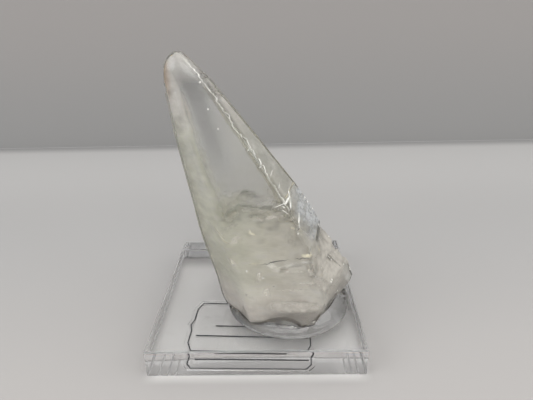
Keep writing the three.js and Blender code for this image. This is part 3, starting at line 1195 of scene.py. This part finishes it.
@dataclass
class Crystal:
    """The calcite crystal: worn faces, a bruised ridge with a painted highlight line, cloudy foot, veil,
    cracks with painted shade and painted glints.
    """

    cell: float = 0.75 * MM
    splits: int = 7
    sharp_angle: float = math.radians(24)
    ridge: tuple = (
        (24.3, 11.8), (34.3, 6.2), (45.0, -0.4), (57.2, -8.9), (59.0, -10.4), (60.5, -11.7), (62.0, -13.0),
    )
    # The white line down the ridge, partly knocked spots and partly a painted highlight.
    ridge_line_span: tuple = (32.6, 61.0)
    ridge_line_step: float = 0.12
    ridge_line_width: float = 0.3
    ridge_line_slant: float = 0.4
    jags: tuple = ((0.0, 0.3, 0.5), (5.0, 0.9, 0.3), (7.0, 2.3, 0.22))
    worn_tip: float = 58.0
    blunt_from: float = 54.5
    blunt_away: float = 0.9
    tip_rounds: int = 5
    rough_from: float = 36.0
    rough_span: float = 12.0
    ripple: tuple = (0.012, 0.05)
    ripple_pace: float = 0.9
    swell: float = 0.22
    swell_pace: float = 0.28
    shrink: tuple = (0.02, 0.1)
    bruised: tuple = (4.0, 33.0)
    bruised_angle: float = math.radians(30)
    bruised_above: float = 0.32
    skin_depth: float = 0.75 * MM
    core_top: float = 50.0 * MM
    core_middle: tuple = (5.2 * MM, -6.4 * MM, 20.0 * MM)
    core_size: float = 0.68
    veil_cells: tuple = (70, 36)
    veil_top: tuple = ((-6.6, 30.3), (-4.2, 33.4), (-1.6, 36.8), (1.8, 35.5), (5.0, 34.0), (7.6, 35.0))
    veil_foot: tuple = ((-6.6, 27.6), (-2.0, 27.2), (7.6, 26.4))
    veil_depth: float = 2.0
    veil_focus: tuple = (0.5, 25.0)
    veil_ripple: float = 0.22
    veil_ripple_pace: float = 3.6
    veil_sway: float = 0.5
    # Lines of the painted shadow under the parting ledge.
    cracks: tuple = (((1.3, 21.3), (4.2, 21.9), (6.9, 22.3)), ((8.2, 22.5), (9.6, 22.9), (11.3, 23.0)))
    crack_width: float = 0.26
    crack_steps: int = 24
    crack_wander: float = 0.25
    lift: float = 0.03 * MM
    lift_step: float = 0.003 * MM
    flake_cell: float = 0.3
    flake_edge: float = 0.22
    patch_edge: float = 0.14
    patch_front: float = 0.25
    sharp_fade: float = 12.0
    soft_fade: float = 4.0
    body: BMesh = None
    surface: BVHTree = None
    # Marks left on the glint layer are painted highlights on small fractures, mixed with white nicks and
    # scratches.
    marks: tuple = (
        Mark(16.8, 19.8, 13.5, 12.5, -60.0, Layer.CREAM),
        Mark(7.8, 12.3, 13.5, 3.2, 4.0, Layer.CREAM),
        Mark(11.9, 30.2, 13.0, 6.4, -60.0, Layer.FROST),
        # Painted highlight: a yellowish glint at the top of the broken facet.
        Mark(8.6, 36.2, 1.9, 0.6, 60.0, Layer.STAIN),
        Mark(6.6, 34.2, 1.5, 0.5, 20.0),
        Mark(7.4, 33.2, 1.1, 0.35, 100.0),
        Mark(5.4, 33.8, 3.0, 0.16, 25.0),
        Mark(7.2, 34.6, 2.2, 0.16, 100.0),
        Mark(6.3, 32.4, 2.0, 0.14, -35.0),
        Mark(6.0, 33.4, 0.7, 0.3, -30.0),
        Mark(9.1, 30.2, 2.0, 0.4, 85.0),
        Mark(15.5, 25.0, 2.1, 0.65, -55.0),
        Mark(7.7, 29.2, 0.9, 0.45, -20.0, Layer.STAIN),
        Mark(-0.3, 27.7, 1.9, 0.34, -15.0, Layer.STAIN),
        Mark(-0.8, 28.2, 1.0, 0.26, 60.0, Layer.STAIN),
        Mark(-7.0, 27.3, 2.8, 0.25, -40.0, Layer.STAIN),
        Mark(-6.0, 25.9, 2.2, 0.2, -25.0, Layer.STAIN),
        Mark(-6.4, 23.7, 1.5, 0.2, -30.0),
        Mark(-1.7, 19.8, 0.5, 0.35, 30.0),
        Mark(0.9, 19.2, 0.5, 0.3, 70.0),
        Mark(1.6, 18.3, 0.6, 0.3, -20.0),
        Mark(10.6, 23.4, 2.6, 0.8, 5.0, Layer.STAIN),
        Mark(0.1, 21.5, 2.4, 0.18, 10.0, Layer.STAIN),
        Mark(-0.6, 44.4, 0.6, 0.2, 60.0),
        Mark(1.6, 41.2, 0.5, 0.2, 40.0),
        Mark(3.7, 39.4, 0.9, 0.2, 55.0),
        Mark(5.2, 37.0, 0.8, 0.25, 70.0),
        Mark(-8.2, 58.0, 1.8, 0.16, -20.0, Layer.DUSK),
        Mark(-6.2, 55.3, 2.2, 0.2, -20.0, Layer.DUSK),
        Mark(-5.4, 54.0, 2.0, 0.18, -20.0, Layer.DUSK),
        Mark(-9.1, 56.7, 0.5, 0.4, 45.0),
        Mark(-7.9, 51.9, 0.35, 0.35, 0.0),
        Mark(-6.2, 48.3, 0.3, 0.3, 0.0),
        Mark(1.3, 46.2, 0.9, 0.3, 40.0, Layer.STAIN),
        Mark(3.8, 16.7, 0.35, 0.3, 0.0, Layer.SEAM),
        Mark(-1.1, 14.2, 3.4, 0.8, -25.0, Layer.WISP),
        Mark(2.4, 15.2, 1.8, 2.2, 10.0, Layer.WISP),
        Mark(8.6, 12.9, 9.0, 1.8, 3.0, Layer.WISP),
        Mark(0.8, 18.6, 2.8, 1.6, 55.0, Layer.WISP),
        Mark(9.6, 20.3, 9.0, 0.7, 3.0, Layer.WISP),
        Mark(11.5, 18.0, 8.0, 0.6, 6.0, Layer.WISP),
        Mark(8.0, 16.2, 8.0, 0.5, 8.0, Layer.WISP),
        Mark(-4.5, 21.5, 3.0, 1.2, -35.0, Layer.WISP),
        Mark(-3.5, 26.5, 4.0, 1.6, 30.0, Layer.WISP),
        Mark(3.0, 31.2, 7.0, 1.0, 8.0, Layer.WISP),
        Mark(7.6, 27.0, 2.6, 4.6, 8.0, Layer.DUSK),
        Mark(-4.4, 29.2, 3.8, 1.1, 30.0, Layer.DUSK),
    )

    def worn(self) -> BMesh:
        """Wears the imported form: small faces, a rounded tip and a very slightly uneven skin.

        Returns:
            The crystal's skin.
        """
        bm = packed_mesh("crystal")
        for edge in bm.edges:
            rounded = all(self.blunt(vert) for vert in edge.verts)
            edge.smooth = rounded or edge.calc_face_angle(0.0) < self.sharp_angle
        for _ in range(self.splits):
            long = [edge for edge in bm.edges if edge.calc_length() > self.cell]
            bmesh.ops.subdivide_edges(bm, edges=long, cuts=1)
            bmesh.ops.triangulate(bm, faces=bm.faces)
        tip = [vert for vert in bm.verts if self.blunt(vert)]
        every_way = {"use_axis_x": True, "use_axis_y": True, "use_axis_z": True}
        for _ in range(self.tip_rounds):
            bmesh.ops.smooth_vert(bm, verts=tip, factor=0.5, **every_way)
        bm.normal_update()
        moves = []
        for vert in bm.verts:
            place = vert.co / MM
            low = held((self.rough_from - place.z) / self.rough_span)
            ripple = noise.fractal(place * self.ripple_pace, 1.0, 2.0, 3)
            ripple *= self.ripple[0] + self.ripple[1] * low
            swell = noise.noise(place * self.swell_pace) * self.swell * low
            moves.append(vert.normal * (ripple + swell - self.shrink[0] - self.shrink[1] * low) * MM)
        for vert, move in zip(bm.verts, moves):
            vert.co += move
        bm.normal_update()
        return bm

    def blunt(self, vert: BMVert) -> bool:
        """Tells whether a vertex is on the rounded tip or on the blunt side left of the ridge.

        Args:
            vert: The vertex.

        Returns:
            True where it is.
        """
        place = vert.co / MM
        side = place.x < between(place.z, self.ridge) - self.blunt_away
        return place.z > self.worn_tip or (place.z > self.blunt_from and side)

    def bruise(self) -> None:
        """Gives a few broken edges low on the crystal their white finish."""
        smoothed(self.body)
        for face in self.body.faces:
            place = face.calc_center_median() / MM
            sharp = max((edge.calc_face_angle_signed(0.0) for edge in face.edges), default=0.0)
            near = place.x > self.bruised[0] and place.z < self.bruised[1]
            if near and sharp > self.bruised_angle and noise.noise(place * 0.7) > self.bruised_above:
                face.material_index = Layer.BRUISED

    def sheet(self) -> tuple:
        """Returns an empty mesh and its layer of fade values."""
        bm = bmesh.new()
        return bm, bm.verts.layers.float.new(FADE)

    def front(self, x: float, z: float, lift: float = 0.0) -> Vector:
        """Finds the crystal's surface from the front.

        Args:
            x: The place along X, in millimetres.
            z: The height, in millimetres.
            lift: How far the point lies in front of the surface, in metres.

        Returns:
            The point, in metres.
        """
        place = self.surface.ray_cast(Vector((x, -60.0, z)) * MM, Vector((0, 1, 0)))[0]
        if place is None:
            place = self.surface.find_nearest(Vector((x, -12.0, z)) * MM)[0]
        return place - Vector((0, lift, 0))

    def ridge_knocks_and_highlight(self) -> None:
        """Adds the thin white line down the ridge: partly white knocked spots and partly a painted
        highlight along the ridge.
        """
        bm, fade = self.sheet()
        low, high = self.ridge_line_span
        steps = int((high - low) / self.ridge_line_step)
        rows = []
        for i in range(steps + 1):
            z = low + (high - low) * i / steps
            jag = sum(reach * noise.noise((seed, 0.0, z * pace)) for seed, pace, reach in self.jags)
            strength = held(0.9 + 1.1 * noise.noise((9.0, 0.0, z * 0.33)), 0.35)
            half = self.ridge_line_width * (0.5 + 0.9 * max(0.0, noise.noise((3.0, 0.0, z * 0.7)))) / 2
            x = between(z, self.ridge) + jag
            row = []
            for side in (-1, 1):
                across, up = x + side * half, z - side * half * self.ridge_line_slant
                vert = bm.verts.new(self.front(across, up, self.lift))
                vert[fade] = strength
                row.append(vert)
            rows.append(row)
        for (a, b), (c, d) in zip(rows, rows[1:]):
            bm.faces.new((a, b, d, c))
        self.join(bm, Layer.GLINT)

    def inner(self) -> None:
        """Adds the cloud: one skin just inside the surface and a rounder one in the middle."""
        skin = packed_mesh("crystal")
        skin.normal_update()
        moves = [vert.normal * self.skin_depth for vert in skin.verts]
        for vert, move in zip(skin.verts, moves):
            vert.co -= move
        self.join(skin, Layer.CLOUD)
        core = packed_mesh("crystal")
        high = [vert for vert in core.verts if vert.co.z > self.core_top]
        bmesh.ops.delete(core, geom=high, context="VERTS")
        hull = bmesh.ops.convex_hull(core, input=core.verts, use_existing_faces=False)
        kept = {face for face in picked(hull["geom"], BMFace) if face.is_valid}
        bmesh.ops.delete(core, geom=[face for face in core.faces if face not in kept], context="FACES")
        middle = Vector(self.core_middle)
        sized = Matrix.Scale(self.core_size, 4) @ Matrix.Translation(-middle)
        bmesh.ops.transform(core, matrix=Matrix.Translation(middle) @ sized, verts=core.verts)
        bmesh.ops.recalc_face_normals(core, faces=core.faces)
        self.join(core, Layer.CORE)

    def veil(self) -> None:
        """Adds the healed crack, rippled in arcs under its rounded top."""
        bm, fade = self.sheet()
        bmesh.ops.create_grid(bm, x_segments=self.veil_cells[0], y_segments=self.veil_cells[1], size=1.0)
        left, right = self.veil_top[0][0], self.veil_top[-1][0]
        for vert in bm.verts:
            x = left + (right - left) * (vert.co.x + 1) / 2
            low, high = between(x, self.veil_foot), between(x, self.veil_top)
            share = (vert.co.y + 1) / 2
            z = low + (high - low) * share
            ring = math.dist((x, z), self.veil_focus)
            vert[fade] = min(1.0, 2.2 * share) * min(1.0, 5.0 * (1.0 - abs(vert.co.x)) + 0.1)
            y = self.front(x, z).y / MM + self.veil_depth * (0.5 + 0.6 * (1 - share))
            phase = ring * self.veil_ripple_pace + 1.5 * noise.noise((x * 0.5, 0.0, z * 0.5))
            y += self.veil_ripple * math.sin(phase)
            y += self.veil_sway * noise.noise((x * 0.45, 3.0, z * 0.7))
            vert.co = Vector((x, y, z)) * MM
        self.join(bm, Layer.VEIL)

    def flake(self, mark: Mark, lift: float) -> None:
        """Adds one flake, an uneven patch that follows the surface; a glint flake is a painted highlight.

        Args:
            mark: The flake.
            lift: Its distance from the surface.
        """
        bm, fade = self.sheet()
        cells = [max(8, int(size / self.flake_cell)) for size in (mark.length, mark.width)]
        bmesh.ops.create_grid(bm, x_segments=cells[0], y_segments=cells[1], size=0.6)
        turned = Matrix.Rotation(math.radians(mark.turn), 2)
        seed = Vector((mark.across, mark.up, 0))
        rise = self.soft_fade if mark.layer in SOFT else self.sharp_fade
        for vert in bm.verts:
            edge = 0.5 + self.flake_edge * noise.fractal(vert.co * 4.0 + seed, 1.0, 2.0, 3)
            vert[fade] = held((edge - vert.co.length) * rise)
            x, z = turned @ Vector((vert.co.x * mark.length, vert.co.y * mark.width))
            vert.co = self.front(mark.across + x, mark.up + z, lift)
        bare = [vert for vert in bm.verts if not any(near[fade] for near in (vert, *around(vert)))]
        bmesh.ops.delete(bm, geom=bare, context="VERTS")
        self.join(bm, mark.layer)

    def patch(self, mark: Mark, lift: float) -> None:
        """Adds a broad patch: a copy of the skin's own faces, just outside it, that fades out.

        Args:
            mark: The patch.
            lift: Its distance from the surface.
        """
        bm, fade = self.sheet()
        turned = Matrix.Rotation(math.radians(-mark.turn), 2)
        skin = [face for face in self.body.faces if face.material_index == Layer.CLEAR]
        copies = {}
        for face in [face for face in skin if face.normal.y < self.patch_front]:
            for vert in face.verts:
                if vert not in copies:
                    place = vert.co / MM
                    away = turned @ Vector((place.x - mark.across, place.z - mark.up))
                    reach = math.hypot(away.x / mark.length, away.y / mark.width)
                    edge = 0.5 + self.patch_edge * noise.noise(place * 0.6)
                    copies[vert] = bm.verts.new(vert.co + vert.normal * lift)
                    copies[vert][fade] = held((edge - reach) * self.soft_fade)
            corners = [copies[vert] for vert in face.verts]
            if any(copy[fade] > 0.0 for copy in corners) and bm.faces.get(corners) is None:
                bm.faces.new(corners)
        bmesh.ops.delete(bm, geom=[vert for vert in bm.verts if not vert.link_faces], context="VERTS")
        self.join(bm, mark.layer)

    def crack(self, line: tuple) -> None:
        """Adds the dark line of a crack: a narrow dark band over the front that is the painted shadow
        under the parting ledge.

        Args:
            line: Points of X and height, in millimetres.
        """
        bm, fade = self.sheet()
        first, last = line[0][0], line[-1][0]
        verts = []
        for i in range(self.crack_steps + 1):
            x = first + (last - first) * i / self.crack_steps
            z = between(x, line) + self.crack_wander * noise.noise((x * 1.7, 0.0, 0.0))
            verts.append(bm.verts.new(self.front(x, z, self.lift)))
        edges = [bm.edges.new(pair) for pair in zip(verts, verts[1:])]
        made = bmesh.ops.extrude_edge_only(bm, edges=edges)["geom"]
        for i, vert in enumerate(picked(made, BMVert)):
            share = i / self.crack_steps
            vert.co.z -= self.crack_width * MM * max(0.15, math.sin(math.pi * share))
        for vert in bm.verts:
            vert[fade] = 1.0
        self.join(bm, Layer.SEAM)

    def join(self, bm: BMesh, layer: Layer) -> None:
        """Moves a mesh's faces into the crystal, with one finish.

        Args:
            bm: The mesh that gives them, which is freed.
            layer: Their finish.
        """
        smoothed(bm)
        for face in bm.faces:
            face.material_index = layer
        mesh = bpy.data.meshes.new("joined")
        bm.to_mesh(mesh)
        bm.free()
        self.body.from_mesh(mesh)
        bpy.data.meshes.remove(mesh)

    def finishes(self) -> list:
        """Builds the crystal's materials.

        Returns:
            The materials, in the order of the layers.
        """
        looks = {
            Layer.CLEAR: Calcite(),
            Layer.BRUISED: BruisedCalcite(),
            Layer.CLOUD: Cloud(),
            Layer.CORE: Cloud(name="calcite_core", at_skin=False),
            Layer.VEIL: Veil(),
            # Painted shadow under the parting ledge, along the cracks.
            Layer.SEAM: Shade("crack_painted_shade", (0.06, 0.06, 0.055), (0.15, 0.145, 0.13), 0.6, 1.0),
            # Yellow stains, one of them a painted yellowish highlight.
            Layer.STAIN: Shade("yellow_stain_and_glint", (0.50, 0.46, 0.33), (0.68, 0.64, 0.52)),
            # Painted highlight for the glints and the white line on the ridge.
            Layer.GLINT: Shade("white_glint", (0.66, 0.65, 0.61), (0.92, 0.91, 0.88), 0.7, 1.0),
            Layer.WISP: Shade("milky_wisp", (0.44, 0.41, 0.36), (0.52, 0.485, 0.435), 0.0, 0.5),
            Layer.FROST: Shade("frosted_facet", (0.29, 0.30, 0.305), (0.46, 0.47, 0.475), 0.35, 0.85),
            Layer.DUSK: Shade("shaded_patch", (0.24, 0.225, 0.19), (0.28, 0.26, 0.225), 0.1, 0.45),
            Layer.CREAM: Shade("milky_shoulder", (0.35, 0.332, 0.296), (0.40, 0.376, 0.334), 0.72, 0.95),
        }
        return [looks[layer].build() for layer in Layer]

    def build(self) -> bpy.types.Object:
        """Builds the crystal from its skin outwards.

        Returns:
            The crystal.
        """
        self.body = self.worn()
        self.body.verts.layers.float.new(FADE)
        self.bruise()
        self.surface = BVHTree.FromBMesh(self.body)
        self.inner()
        self.veil()
        self.ridge_knocks_and_highlight()
        for number, mark in enumerate(self.marks):
            add = self.patch if mark.layer in BROAD else self.flake
            add(mark, self.lift + number * self.lift_step)
        for line in self.cracks:
            self.crack(line)
        crystal = new_piece("calcite_crystal", self.body, self.finishes())
        stand_for(crystal, "crystal")
        return crystal


def main() -> None:
    """Builds the scene in order, and reports each piece."""
    logging.basicConfig(level=logging.INFO, format="%(message)s")
    bpy.context.scene.view_settings.view_transform = "Standard"
    ViewCamera().build()
    Stage().build()
    for part in (Slab(), Label(), GluePuddle(), Crystal()):
        piece = part.build()
        LOG.info("%s: %d faces", piece.name, len(piece.data.polygons))


if __name__ == "__main__":
    main()
